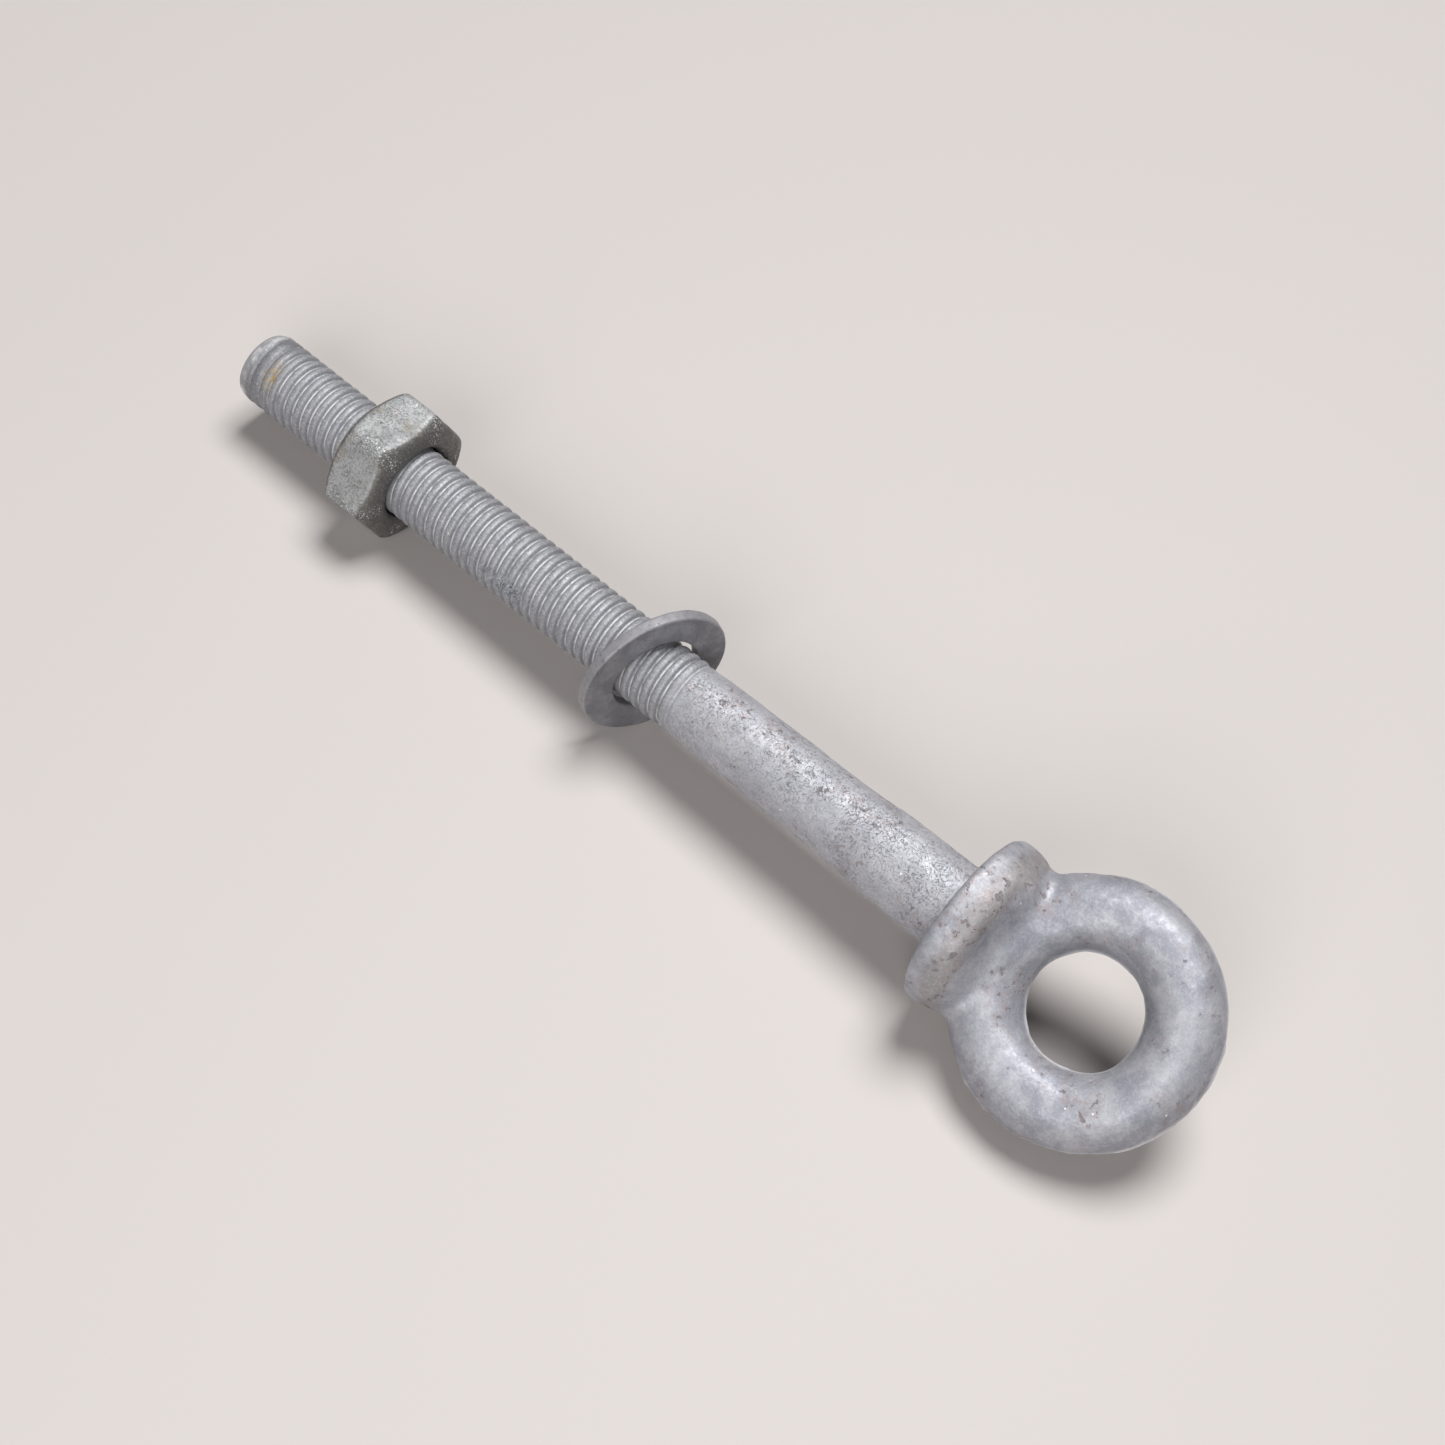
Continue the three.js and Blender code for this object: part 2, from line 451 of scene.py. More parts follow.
def rod_object():
    """The thread and the plain shank as a tube, closed at its free end and open at the join."""
    shank = smooth_curve(SHANK_OUTLINE)
    rows = end_face_rows() + threaded_rows(shank) + plain_rows(shank)
    width = COLUMNS + 1
    faces = []
    for row in range(len(rows) - 1):
        for column in range(COLUMNS):
            corner = row * width + column
            faces.append([corner, corner + 1, corner + width + 1, corner + width])
    return mesh_object("rod", np.vstack(rows), faces)


def collar_outlines():
    """Outlines of the shank's root and the collar, towards the eye's faces and in its plane."""
    stub = [(HEAD_START_X, 0.0), (HEAD_START_X, SHANK_ROOT[0][1])]
    outlines = []
    for side in (COLLAR_FACE_SIDE, COLLAR_PLANE_SIDE):
        outlines.append(np.vstack([stub, smooth_curve(SHANK_ROOT + COLLAR_SEAT + side), (side[-1][0], 0.0)]))
    return outlines


def collar_distance(points):
    face_side, plane_side = collar_outlines()
    around = np.hypot(points[:, 1], points[:, 2])
    in_plane = (points[:, 1] / np.maximum(around, 1e-6)) ** 2
    to_faces = revolved_distance(points, face_side)
    to_plane = revolved_distance(points, plane_side)
    return to_faces + (to_plane - to_faces) * in_plane


def head_distance(points):
    """Signed distance to the shank's root, the collar and the eye, blended with a forging fillet."""
    ring = np.hypot(points[:, 0] - EYE_CENTRE_X, points[:, 1]) - EYE_RING_RADIUS
    eye = np.hypot(ring, points[:, 2]) - EYE_BAR_RADIUS
    near = points[:, 0] < COLLAR_REACH_X
    head = eye.copy()
    head[near] = smooth_union(collar_distance(points[near]), eye[near], EYE_FILLET)
    return head


def torus_solid(columns=160, segments=48):
    vertices = []
    faces = []
    for column in range(columns):
        turn = 2 * math.pi * column / columns
        for segment in range(segments):
            roll = 2 * math.pi * segment / segments
            reach = EYE_RING_RADIUS + EYE_BAR_RADIUS * math.cos(roll)
            height = EYE_BAR_RADIUS * math.sin(roll)
            vertices.append((EYE_CENTRE_X + reach * math.cos(turn), reach * math.sin(turn), height))
            corners = [
                (column, segment),
                (column, segment + 1),
                (column + 1, segment + 1),
                (column + 1, segment),
            ]
            faces.append([(c % columns) * segments + s % segments for c, s in corners])
    return vertices, faces


def head_object():
    collar = turned_grid(collar_outlines()[1] + (0, 1e-3), 96)
    skin = closed_voxels("head", [collar, torus_solid()], HEAD_VOXEL)
    set_vertices(skin.data, settle(vertex_array(skin.data), head_distance))
    return skin


def join_at_plane(rod, head):
    """Cuts the head off square at the join, and bridges it to the open end of the rod."""
    cut = bmesh.new()
    cut.from_mesh(head.data)
    everything = cut.verts[:] + cut.edges[:] + cut.faces[:]
    bmesh.ops.bisect_plane(
        cut, geom=everything, plane_co=(JOIN_X, 0, 0), plane_no=(1, 0, 0), clear_inner=True
    )
    cut.to_mesh(head.data)
    cut.free()
    both = bmesh.new()
    both.from_mesh(rod.data)
    both.from_mesh(head.data)
    bmesh.ops.remove_doubles(both, verts=both.verts, dist=1e-3)
    open_edges = [edge for edge in both.edges if edge.is_boundary]
    bmesh.ops.bridge_loops(both, edges=open_edges)
    bmesh.ops.recalc_face_normals(both, faces=both.faces)
    both.to_mesh(rod.data)
    both.free()
    bpy.data.meshes.remove(head.data)
    return rod


def flash_line(points):
    """The thin ridge that the forging dies leave round the outside and the inside of the eye."""
    reach = np.hypot(points[:, 0] - EYE_CENTRE_X, points[:, 1]) - EYE_RING_RADIUS
    ridge = np.exp(-((points[:, 2] / FLASH_WIDTH) ** 2))
    clear_of_collar = smoothstep(points[:, 0], 9.5, 12.5)
    patchy = 0.5 + 0.5 * smoothstep(fractal(points, 5.0, 2, 11.0), -0.15, 0.25)
    return ridge * clear_of_collar * patchy * (np.abs(reach) > 0.5 * EYE_BAR_RADIUS)


def patch(points, x, angle, length, width):
    """1 at a place on the thread, given by x and an angle in degrees, falling to 0 over length and width."""
    around = np.arctan2(points[:, 2], points[:, 1]) - math.radians(angle)
    across = THREAD_RADIUS * np.abs(np.mod(around + math.pi, 2 * math.pi) - math.pi)
    return np.exp(-(((points[:, 0] - x) / length) ** 2) - (across / width) ** 2)


def thread_share(x):
    return band(x, (THREAD_START, THREAD_START + 1), (THREAD_END - 2, THREAD_END))


def past_thread_share(x):
    return (1 - thread_share(x)) * smoothstep(x, THREAD_END - 2, THREAD_END)


def roughen_bolt(mesh, points):
    """Makes the forging uneven, the thread slightly so, and raises the flash line."""
    x = points[:, 0]
    on_head = smoothstep(x, -8, 2)
    past_thread = past_thread_share(x)
    forged = lumps(points, SHANK_LUMP, 3, 3.0) * (1 - on_head)
    forged += lumps(points, HEAD_LUMP, 3, 3.0) * on_head
    forged += lumps(points, SHANK_DENT, 3, 7.0) * past_thread
    ripple = lumps(points, THREAD_DENT, 2, 5.0) * thread_share(x)
    push(mesh, forged * past_thread + ripple + FLASH_HEIGHT * flash_line(points))


def mark_bolt(mesh, points):
    """Stores where each kind of finish and painted highlight is, for the material to read."""
    x = points[:, 0]
    around = np.hypot(points[:, 1], points[:, 2])
    angle = np.arctan2(points[:, 2], points[:, 1])
    phase = (x - THREAD_START) / THREAD_PITCH - angle / (2 * math.pi)
    on_thread = thread_share(x)
    tip_start, tip_end = THREAD_START + 0.2, THREAD_START + 1.5
    set_attribute(mesh, "helix_cos", np.cos(2 * math.pi * phase))
    set_attribute(mesh, "helix_sin", np.sin(2 * math.pi * phase))
    set_attribute(mesh, "thread", on_thread)
    set_attribute(mesh, "full_thread", on_thread * smoothstep(x, THREAD_START + 2, THREAD_START + 7))
    set_attribute(mesh, "shank", past_thread_share(x) * (1 - smoothstep(x, -2, 0)))
    set_attribute(mesh, "flash", flash_line(points))
    set_attribute(mesh, "rim", smoothstep(around, 8.0, 9.5) * band(x, (1.6, 3.0), (4.8, 5.4)))
    set_attribute(mesh, "stain", patch(points, **STAIN))
    set_attribute(mesh, "nick", patch(points, **NICK))
    # Where the painted highlight round the end face's edge goes
    set_attribute(mesh, "tip", band(x, (tip_start, tip_start + 0.25), (tip_end - 0.4, tip_end)))


def eye_bolt_object(frame):
    bolt = join_at_plane(rod_object(), head_object())
    bolt.name = "forged_bolt"
    points = vertex_array(bolt.data)
    roughen_bolt(bolt.data, points)
    mark_bolt(bolt.data, points)
    finish_mesh(bolt, bolt_placement(frame))
    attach(bolt, "bolt")
    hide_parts("eye_bolt")
    return bolt


# ---------------------------------------------------------------- nut


def nut_distance(points):
    """Signed distance to a chamfered hexagon with rounded edges, bored and threaded."""
    x = points[:, 0]
    around = np.hypot(points[:, 1], points[:, 2])
    hexagon = np.full(len(points), -np.inf)
    for flat in range(3):
        normal = math.radians(30 + 60 * flat)
        across = np.abs(points[:, 1] * math.cos(normal) + points[:, 2] * math.sin(normal))
        side = across - NUT_ACROSS_FLATS / 2
        hexagon = side if flat == 0 else smooth_cut(hexagon, side, NUT_EDGE_ROUND)
    faces = np.abs(x) - NUT_HEIGHT / 2
    past_face = (around - NUT_FACE_RADIUS) * math.sin(NUT_CHAMFER_ANGLE)
    chamfer = faces * math.cos(NUT_CHAMFER_ANGLE) + past_face
    ends = smooth_cut(faces, chamfer, NUT_EDGE_ROUND)
    blank = smooth_cut(hexagon, ends, NUT_EDGE_ROUND)
    angle = np.arctan2(points[:, 2], points[:, 1])
    phase = np.mod(x / THREAD_PITCH - angle / (2 * math.pi), 1)
    thread = NUT_BORE_RADIUS + NUT_THREAD_DEPTH * (0.5 - 0.5 * np.cos(2 * math.pi * phase))
    mouth = NUT_MOUTH_RADIUS + (np.abs(x) - NUT_HEIGHT / 2)
    bore = np.maximum(thread, mouth) - around
    return smooth_cut(blank, bore, NUT_THREAD_ROUND)


def nut_object(frame):
    half = NUT_HEIGHT / 2
    corner = NUT_ACROSS_FLATS / math.sqrt(3)
    tube = [(-half, NUT_BORE_RADIUS), (-half, corner), (half, corner), (half, NUT_BORE_RADIUS)]
    vertices, faces = turned_grid(tube + tube[:1], 6)
    nut = closed_voxels("zinc_nut", [(vertices, faces)], NUT_VOXEL)
    set_vertices(nut.data, settle(vertex_array(nut.data), nut_distance, 6))
    points = vertex_array(nut.data)
    outside = smoothstep(np.hypot(points[:, 1], points[:, 2]), 5.4, 6.4)
    push(nut.data, (lumps(points, NUT_LUMP, 3, 2.0) + lumps(points, NUT_DENT, 3, 4.0)) * outside)
    normals = vertex_normals(nut.data)
    angle = np.degrees(np.arctan2(points[:, 2], points[:, 1]))
    past_corner = np.radians(np.mod(angle + 30, 60) - 30)
    from_corner = np.hypot(points[:, 1], points[:, 2]) * np.sin(past_corner)
    # Where the end faces are, for their painted shade and stronger mottle
    set_attribute(nut.data, "end", smoothstep(np.abs(normals[:, 0]), 0.2, 0.5))
    set_attribute(nut.data, "edge", np.exp(-((from_corner / NUT_EDGE_WIDTH) ** 2)) * outside)
    finish_mesh(nut, nut_placement(frame))
    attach(nut, "nut")
    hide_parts("hex_nut")
    return nut


# ---------------------------------------------------------------- washer


def rounded_corner(x, radius, start_angle, steps=6):
    points = []
    for step in range(steps + 1):
        angle = math.radians(start_angle + 90 * step / steps)
        points.append((x + WASHER_EDGE * math.cos(angle), radius + WASHER_EDGE * math.sin(angle)))
    return points


def washer_outline():
    """The washer's section as (x, radius): its rim, one face, its hole and the other face."""
    half = WASHER_THICKNESS / 2 - WASHER_EDGE
    outer = WASHER_RADIUS - WASHER_EDGE
    inner = WASHER_HOLE_RADIUS + WASHER_EDGE
    across = np.linspace(outer, inner, WASHER_FACE_RINGS)[1:-1]
    outline = rounded_corner(half, outer, 0)[::-1]
    outline += [(half + WASHER_EDGE, radius) for radius in across]
    outline += rounded_corner(half, inner, 270)[::-1]
    outline += rounded_corner(-half, inner, 180)[::-1]
    outline += [(-half - WASHER_EDGE, radius) for radius in across[::-1]]
    outline += rounded_corner(-half, outer, 90)[::-1]
    return outline


def washer_object(frame):
    outline = washer_outline()
    vertices, faces = turned_grid(outline + outline[:1], WASHER_SEGMENTS)
    washer = mesh_object("zinc_washer", vertices, faces)
    clean = bmesh.new()
    clean.from_mesh(washer.data)
    bmesh.ops.remove_doubles(clean, verts=clean.verts, dist=1e-3)
    bmesh.ops.recalc_face_normals(clean, faces=clean.faces)
    clean.to_mesh(washer.data)
    clean.free()
    points = vertex_array(washer.data)
    around = np.hypot(points[:, 1], points[:, 2])
    clear_of_hole = smoothstep(around, WASHER_HOLE_RADIUS + 0.1, WASHER_HOLE_RADIUS + 1)
    uneven = lumps(points, WASHER_LUMP, 2, 9.0) + lumps(points, WASHER_DENT, 2, 6.0)
    push(washer.data, uneven * clear_of_hole)
    set_attribute(washer.data, "edge", smoothstep(around, WASHER_RADIUS - 0.35, WASHER_RADIUS - 0.1))
    finish_mesh(washer, washer_placement(frame))
    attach(washer, "washer")
    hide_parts("flat_washer")
    return washer


# ---------------------------------------------------------------- material helpers


class Nodes:
    """Short calls that add shader nodes to one material and link them."""

    def __init__(self, name):
        self.material = bpy.data.materials.new(name)
        self.material.use_nodes = True
        self.tree = self.material.node_tree
        self.shader = self.tree.nodes["Principled BSDF"]
        self.place = self.add("ShaderNodeTexCoord").outputs["Object"]

    def add(self, kind, **settings):
        node = self.tree.nodes.new(kind)
        for key, value in settings.items():
            setattr(node, key, value)
        return node

    def feed(self, socket, value):
        if isinstance(value, bpy.types.NodeSocket):
            self.tree.links.new(value, socket)
        else:
            socket.default_value = value

    def noise(self, size_mm, detail=4.0, roughness=0.55, distortion=0.0):
        node = self.add("ShaderNodeTexNoise")
        self.feed(node.inputs["Vector"], self.place)
        node.inputs["Scale"].default_value = 1 / (size_mm * MM)
        node.inputs["Detail"].default_value = detail
        node.inputs["Roughness"].default_value = roughness
        node.inputs["Distortion"].default_value = distortion
        return node.outputs["Fac"]

    def cells(self, size_mm):
        """The distance to the nearest of many points that are scattered about size_mm apart."""
        node = self.add("ShaderNodeTexVoronoi")
        self.feed(node.inputs["Vector"], self.place)
        node.inputs["Scale"].default_value = 1 / (size_mm * MM)
        return node.outputs["Distance"]

    def attribute(self, name):
        return self.add("ShaderNodeAttribute", attribute_name=name).outputs["Fac"]

    def between(self, value, low, high, to_low=0.0, to_high=1.0):
        """Maps value smoothly from low..high onto to_low..to_high, and holds it there."""
        node = self.add("ShaderNodeMapRange", interpolation_type="SMOOTHSTEP")
        self.feed(node.inputs["Value"], value)
        for socket, number in zip(node.inputs[1:5], (low, high, to_low, to_high)):
            socket.default_value = number
        return node.outputs["Result"]

    def math(self, operation, first, second=0.0):
        node = self.add("ShaderNodeMath", operation=operation)
        self.feed(node.inputs[0], first)
        self.feed(node.inputs[1], second)
        return node.outputs["Value"]

    def times(self, first, second):
        return self.math("MULTIPLY", first, second)

    def most(self, first, second):
        return self.math("MAXIMUM", first, second)

    def rest_of(self, value):
        return self.math("SUBTRACT", 1.0, value)

    def mix(self, share, first, second):
        node = self.add("ShaderNodeMix", data_type="RGBA")
        self.feed(node.inputs["Factor"], share)
        colour_inputs = [socket for socket in node.inputs if socket.type == "RGBA"]
        self.feed(colour_inputs[0], first)
        self.feed(colour_inputs[1], second)
        return [socket for socket in node.outputs if socket.type == "RGBA"][0]

    def helix_band(self, centre, width):
        """1 along a line that follows the thread, with 0 of its pitch in the root and 0.5 on the crest."""
        turn = self.math("ARCTAN2", self.attribute("helix_sin"), self.attribute("helix_cos"))
        phase = self.math("DIVIDE", turn, 2 * math.pi)
        away = self.math("PINGPONG", self.math("SUBTRACT", phase, centre), 0.5)
        return self.between(away, width, 0.4 * width)

    def bump(self, height, distance_mm, strength=1.0, normal=None):
        node = self.add("ShaderNodeBump")
        node.inputs["Strength"].default_value = strength
        node.inputs["Distance"].default_value = distance_mm * MM
        self.feed(node.inputs["Height"], height)
        if normal is not None:
            self.feed(node.inputs["Normal"], normal)
        return node.outputs["Normal"]


def srgb(red, green, blue):
    """A linear colour from screen values of 0 to 255."""

    def linear(value):
        share = value / 255
        return share / 12.92 if share <= 0.04045 else ((share + 0.055) / 1.055) ** 2.4

    return (linear(red), linear(green), linear(blue), 1.0)


# ---------------------------------------------------------------- materials


# Colours of the bolt's zinc
CLOUD_DARK = srgb(144, 145, 154)
CLOUD_LIGHT = srgb(168, 168, 174)
MOTTLE_LIGHT = srgb(198, 198, 202)
SHANK_LIGHT = srgb(194, 194, 198)
RIM_WARM = srgb(149, 144, 143)
THREAD_GREY = srgb(146, 147, 150)
THREAD_END_DARK = srgb(110, 110, 113)
GRAIN_DARK = srgb(116, 116, 124)
GRAIN_LIGHT = srgb(214, 214, 218)
STAIN_BROWN = srgb(152, 136, 134)
PIT_BROWN = srgb(108, 96, 94)
SCRATCH_DARK = srgb(126, 128, 138)
ROOT_SHADE = srgb(112, 113, 120)
# Painted highlight along the thread's root and on its crests
THREAD_PAINTED_HIGHLIGHT = srgb(226, 226, 228)
STAIN_YELLOW = srgb(168, 148, 112)
NICK_DARK = srgb(70, 76, 92)
NICK_BARE = srgb(222, 226, 234)
SPECK_WHITE = srgb(248, 248, 250)
FLASH_LIGHT = srgb(236, 236, 238)
# Painted highlight round the edge of the free end's face
TIP_PAINTED_HIGHLIGHT = srgb(214, 214, 214)

# Colours of the nut's zinc
NUT_CLOUD_DARK = srgb(142, 144, 145)
NUT_CLOUD_LIGHT = srgb(166, 167, 168)
# Painted shade on the nut's end faces
NUT_END_PAINTED_SHADE = srgb(76, 73, 68)
NUT_MOTTLE_DARK = srgb(84, 81, 76)
NUT_STAIN_BROWN = srgb(136, 126, 110)
NUT_SPANGLE_WHITE = srgb(240, 240, 240)

# Colours of the washer's zinc
WASHER_CLOUD_DARK = srgb(122, 121, 125)
WASHER_CLOUD_LIGHT = srgb(144, 144, 148)
WASHER_GRAIN_DARK = srgb(104, 102, 106)
WASHER_RIM_LIGHT = srgb(150, 148, 151)
WASHER_PIT_DARK = srgb(84, 82, 86)

FLOOR_COLOUR = srgb(181, 175, 172)


def zinc_base(n, mottle):
    """Cloudy grey zinc, paler on the shank, warmer on the collar's rim and more even on the thread."""
    thread = n.attribute("thread")
    thread_end = n.math("SUBTRACT", thread, n.attribute("full_thread"))
    cloud = n.noise(5.0, 6, 0.62, 0.6)
    colour = n.mix(n.between(cloud, 0.36, 0.64), CLOUD_DARK, CLOUD_LIGHT)
    colour = n.mix(n.between(mottle, 0.42, 0.7, 0, 0.32), colour, MOTTLE_LIGHT)
    colour = n.mix(n.times(n.attribute("shank"), 0.4), colour, SHANK_LIGHT)
    colour = n.mix(n.times(n.attribute("rim"), 0.65), colour, RIM_WARM)
    colour = n.mix(n.times(thread, 0.8), colour, THREAD_GREY)
    return n.mix(n.times(thread_end, 0.6), colour, THREAD_END_DARK)


def zinc_grain(n, colour, grain):
    """Fine dark and light grains, strongest on the thread."""
    shank = n.times(n.attribute("shank"), 0.6)
    rim = n.times(n.attribute("rim"), 0.6)
    strength = n.most(n.most(n.most(shank, n.attribute("thread")), rim), 0.45)
    dark = n.between(grain, 0.36, 0.5, 0.45, 0)
    light = n.between(grain, 0.54, 0.66, 0, 0.35)
    colour = n.mix(n.times(dark, strength), colour, GRAIN_DARK)
    return n.mix(n.times(light, strength), colour, GRAIN_LIGHT)


def stains_and_pits(n, colour):
    """Brown stains and pits, in patches on the forging and all along the collar's rim."""
    rim = n.attribute("rim")
    off_thread = n.rest_of(n.attribute("thread"))
    patches = n.between(n.noise(6.0, 3, 0.6), 0.49, 0.63)
    spots = n.between(n.noise(1.0, 5, 0.7), 0.47, 0.6)
    stain = n.times(n.times(n.most(patches, n.times(rim, 0.8)), spots), off_thread)
    colour = n.mix(n.times(stain, 0.5), colour, STAIN_BROWN)
    patch_pits = n.times(n.between(n.noise(0.85, 5, 0.62), 0.57, 0.65), patches)
    rim_pits = n.times(n.between(n.noise(1.2, 6, 0.66), 0.57, 0.62), rim)
    pit = n.most(n.times(patch_pits, off_thread), rim_pits)
    return n.mix(n.times(pit, 0.62), colour, PIT_BROWN), pit


def shank_scratches(n):
    where = n.between(n.noise(4.5, 3, 0.6), 0.38, 0.6, 0.25, 1.0)
    scratch = n.between(n.noise(0.8, 6, 0.8, 3.0), 0.53, 0.61)
    return n.times(n.times(scratch, where), n.attribute("shank"))


def thread_painted_light_and_shade(n, colour):
    """A broken painted highlight along the thread's root, painted shade beside it, and painted highlight
    specks on the crests.
    """
    full_thread = n.attribute("full_thread")
    broken = n.between(n.noise(1.8, 4, 0.7), 0.36, 0.55, 0.25, 1.0)
    # Painted highlight along the root, painted shade on the flank beside it, and painted highlight specks on
    # the crests
    line = n.times(n.times(n.helix_band(0.02, 0.13), broken), full_thread)
    shade = n.times(n.helix_band(-0.16, 0.12), full_thread)
    crest = n.times(n.helix_band(0.42, 0.3), full_thread)
    sparkle = n.times(n.between(n.noise(0.28, 4, 0.75), 0.56, 0.66), crest)
    colour = n.mix(n.times(shade, 0.35), colour, ROOT_SHADE)
    colour = n.mix(n.times(sparkle, 0.5), colour, THREAD_PAINTED_HIGHLIGHT)
    return n.mix(n.times(line, 0.85), colour, THREAD_PAINTED_HIGHLIGHT)


def bolt_marks(n, colour):
    """The yellow stain, the scraped nick, white specks, the flash line and a painted highlight round the edge
    of the end face.
    """
    nick = n.attribute("nick")
    yellow = n.times(n.attribute("stain"), n.between(n.noise(0.7, 5, 0.7), 0.42, 0.56))
    colour = n.mix(yellow, colour, STAIN_YELLOW)
    scraped = n.times(nick, n.between(n.noise(0.5, 5, 0.75, 1.5), 0.45, 0.52))
    colour = n.mix(scraped, colour, NICK_DARK)
    bare = n.times(nick, n.between(n.noise(0.45, 5, 0.75, 1.5), 0.52, 0.46))
    colour = n.mix(n.times(bare, 0.85), colour, NICK_BARE)
    speck = n.between(n.cells(3.2), 0.045, 0.025)
    colour = n.mix(n.times(speck, 0.9), colour, SPECK_WHITE)
    colour = n.mix(n.times(n.attribute("flash"), 0.85), colour, FLASH_LIGHT)
    # Painted highlight round the edge of the end face
    tip = n.times(n.attribute("tip"), n.between(n.noise(2.2, 3, 0.6), 0.4, 0.55, 0.3, 1.0))
    return n.mix(n.times(tip, 0.75), colour, TIP_PAINTED_HIGHLIGHT), scraped


def forging_zinc():
    n = Nodes("forging_zinc")
    mottle = n.noise(1.4, 6, 0.72, 0.25)
    grain = n.noise(0.3, 4, 0.65)
    scratch = shank_scratches(n)
    colour = zinc_grain(n, zinc_base(n, mottle), grain)
    colour, pit = stains_and_pits(n, colour)
    colour = n.mix(n.times(scratch, 0.32), colour, SCRATCH_DARK)
    colour, scraped = bolt_marks(n, thread_painted_light_and_shade(n, colour))
    n.feed(n.shader.inputs["Base Color"], colour)
    n.shader.inputs["Metallic"].default_value = 0.45
    rough = n.between(mottle, 0.35, 0.7, 0.64, 0.5)
    polish = n.times(n.attribute("nick"), 0.25)
    n.feed(n.shader.inputs["Roughness"], n.math("SUBTRACT", rough, polish))
    relief = n.bump(mottle, 0.12, 0.6)
    relief = n.bump(grain, 0.035, 0.8, relief)
    relief = n.bump(n.times(pit, -1.0), 0.1, 0.8, relief)
    relief = n.bump(n.times(n.most(scratch, scraped), -1.0), 0.08, 0.85, relief)
    n.feed(n.shader.inputs["Normal"], relief)
    return n.material


def nut_zinc():
    n = Nodes("nut_zinc")
    end = n.attribute("end")
    cloud = n.noise(3.0, 6, 0.65, 0.3)
    grain = n.noise(0.32, 5, 0.72)
    colour = n.mix(n.between(cloud, 0.38, 0.62), NUT_CLOUD_DARK, NUT_CLOUD_LIGHT)
    # Painted shade: the nut's end faces darker
    colour = n.mix(n.times(end, 0.8), colour, NUT_END_PAINTED_SHADE)
    patches = n.between(n.noise(3.6, 3, 0.6), 0.4, 0.58, 0.42, 0.75)
    strength = n.most(patches, n.times(end, 0.65))
    colour = n.mix(n.times(n.between(grain, 0.48, 0.58), strength), colour, NUT_MOTTLE_DARK)
    stain = n.between(n.noise(2.4, 5, 0.68), 0.55, 0.68)
    colour = n.mix(n.times(stain, 0.5), colour, NUT_STAIN_BROWN)
    spangle = n.between(n.noise(0.26, 4, 0.75), 0.55, 0.63)
    by_edge = n.between(n.attribute("edge"), 0.0, 1.0, 0.18, 0.9)
    colour = n.mix(n.times(spangle, by_edge), colour, NUT_SPANGLE_WHITE)
    n.feed(n.shader.inputs["Base Color"], colour)
    n.shader.inputs["Metallic"].default_value = 0.35
    n.feed(n.shader.inputs["Roughness"], n.between(cloud, 0.3, 0.7, 0.62, 0.48))
    relief = n.bump(n.noise(0.9, 6, 0.7), 0.12, 0.7)
    n.feed(n.shader.inputs["Normal"], n.bump(grain, 0.06, 0.9, relief))
    return n.material


def washer_zinc():
    n = Nodes("washer_zinc")
    cloud = n.noise(2.6, 6, 0.6, 0.2)
    grain = n.noise(0.35, 4, 0.7)
    colour = n.mix(n.between(cloud, 0.35, 0.65), WASHER_CLOUD_DARK, WASHER_CLOUD_LIGHT)
    colour = n.mix(n.between(grain, 0.5, 0.66, 0, 0.4), colour, WASHER_GRAIN_DARK)
    worn = n.between(n.noise(0.8, 5, 0.7), 0.36, 0.56, 0.25, 1.0)
    rim = n.times(n.attribute("edge"), worn)
    colour = n.mix(n.times(rim, 0.6), colour, WASHER_RIM_LIGHT)
    pit = n.between(n.noise(0.7, 3, 0.6), 0.64, 0.7)
    colour = n.mix(n.times(pit, 0.6), colour, WASHER_PIT_DARK)
    n.feed(n.shader.inputs["Base Color"], colour)
    n.shader.inputs["Metallic"].default_value = 0.35
    n.feed(n.shader.inputs["Roughness"], n.between(cloud, 0.3, 0.7, 0.66, 0.54))
    relief = n.bump(n.noise(0.9, 5, 0.65), 0.09, 0.6)
    n.feed(n.shader.inputs["Normal"], n.bump(grain, 0.03, 0.8, relief))
    return n.material


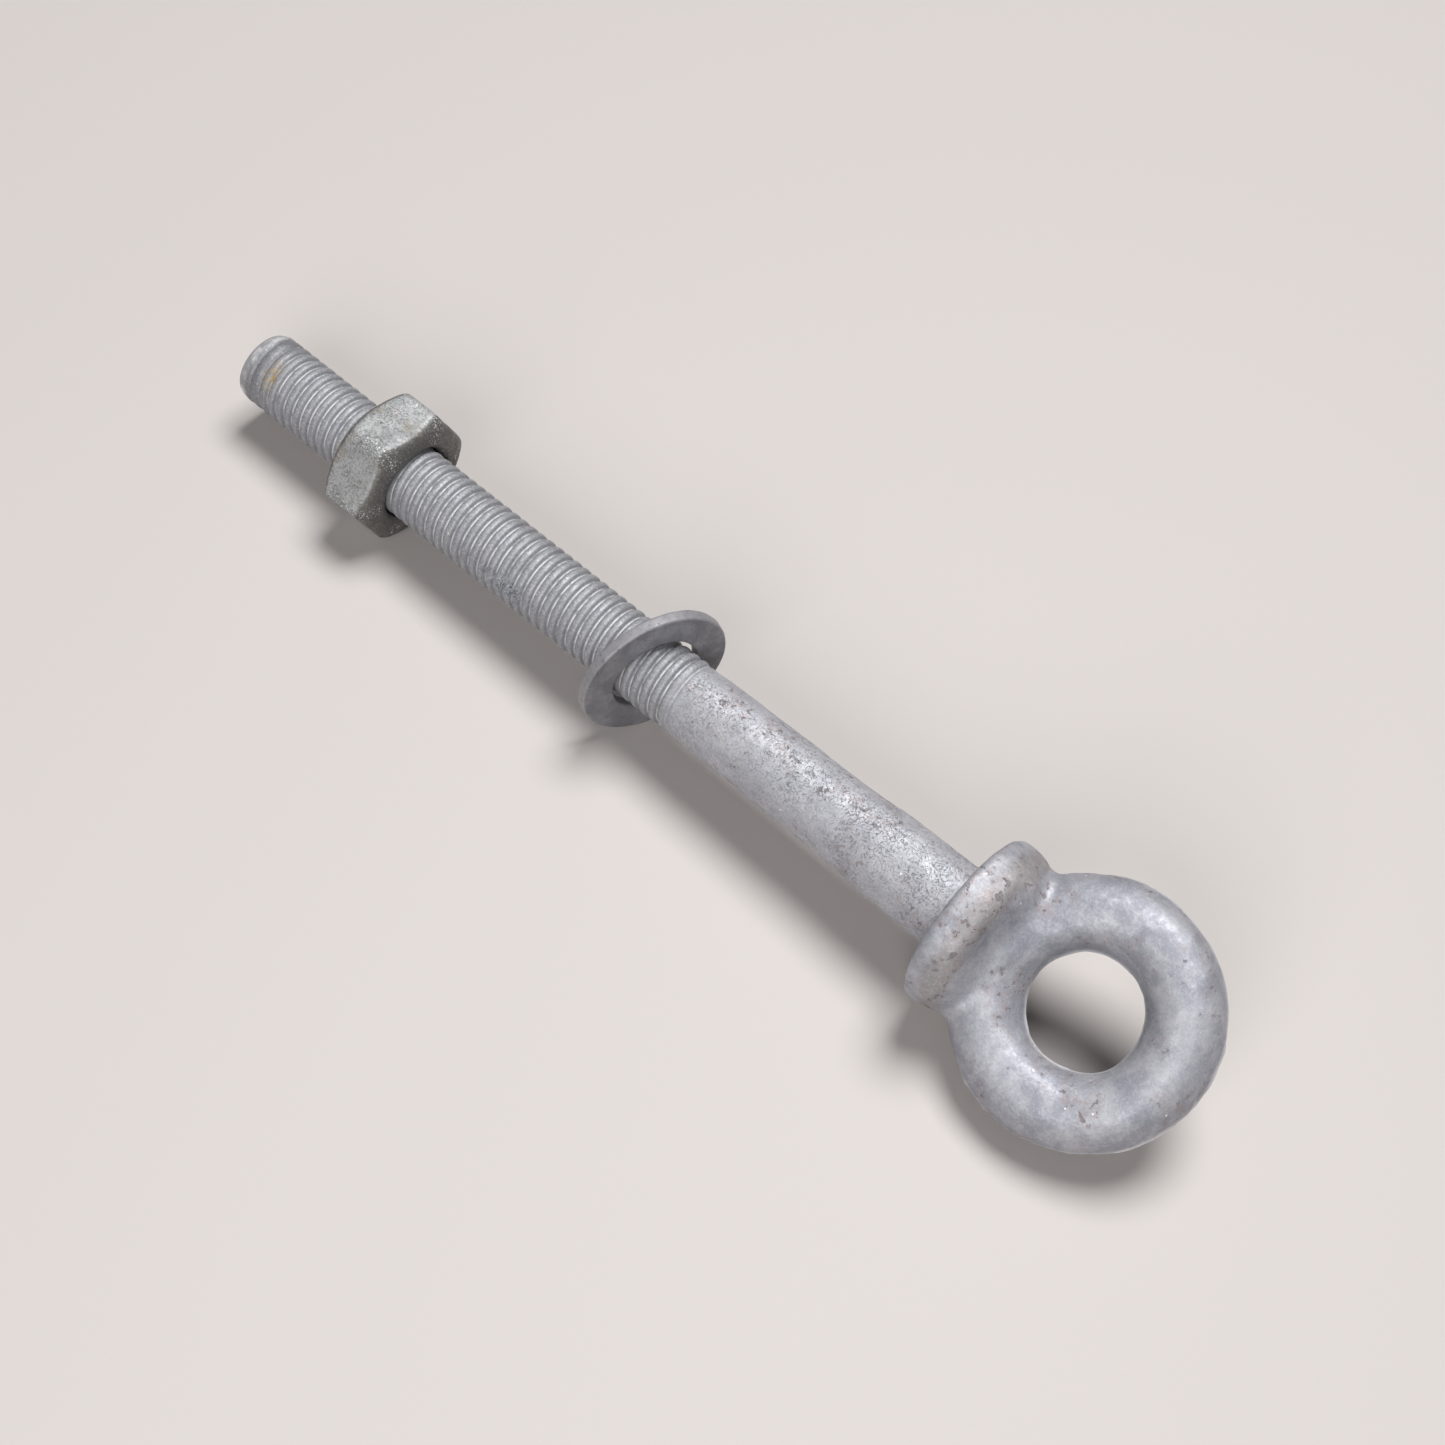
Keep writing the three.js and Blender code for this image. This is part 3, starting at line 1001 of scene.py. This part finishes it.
def floor_material():
    n = Nodes("floor")
    n.shader.inputs["Base Color"].default_value = FLOOR_COLOUR
    n.shader.inputs["Roughness"].default_value = 0.6
    return n.material


# ---------------------------------------------------------------- stage, lights and camera


def add_floor():
    bpy.ops.mesh.primitive_plane_add(size=FLOOR_SIZE)
    floor = bpy.context.object
    floor.name = "floor"
    floor.data.materials.append(floor_material())


def add_area_light(name, place, target, size, power):
    lamp = bpy.data.lights.new(name, "AREA")
    lamp.shape = "DISK"
    lamp.size = size
    lamp.energy = power
    made = bpy.data.objects.new(name, lamp)
    bpy.context.scene.collection.objects.link(made)
    made.location = place
    made.rotation_euler = (Vector(target) - Vector(place)).to_track_quat("-Z", "Y").to_euler()


def add_lights():
    add_area_light("key", **KEY_LIGHT)
    add_area_light("fill", **FILL_LIGHT)
    world = bpy.data.worlds.new("studio")
    world.use_nodes = True
    background = world.node_tree.nodes["Background"]
    background.inputs["Color"].default_value = WORLD_COLOUR
    background.inputs["Strength"].default_value = WORLD_STRENGTH
    bpy.context.scene.world = world


def add_camera():
    data = bpy.data.cameras.new("camera")
    data.lens = CAMERA_LENS
    data.sensor_width = 36
    camera = bpy.data.objects.new("camera", data)
    bpy.context.scene.collection.objects.link(camera)
    turn = (
        Matrix.Rotation(CAMERA_AZIMUTH, 4, "Z")
        @ Matrix.Rotation(math.pi / 2 - CAMERA_ELEVATION, 4, "X")
        @ Matrix.Rotation(CAMERA_ROLL, 4, "Z")
    )
    backwards = turn.to_3x3() @ Vector((0, 0, 1))
    camera.matrix_world = Matrix.Translation(CAMERA_TARGET + backwards * CAMERA_DISTANCE) @ turn
    data.clip_start = 0.005
    bpy.context.scene.camera = camera


def main():
    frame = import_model()
    bpy.context.scene.view_settings.view_transform = "Standard"
    add_camera()
    bolt = eye_bolt_object(frame)
    bolt.data.materials.append(forging_zinc())
    nut = nut_object(frame)
    nut.data.materials.append(nut_zinc())
    washer = washer_object(frame)
    washer.data.materials.append(washer_zinc())
    add_floor()
    add_lights()


main()
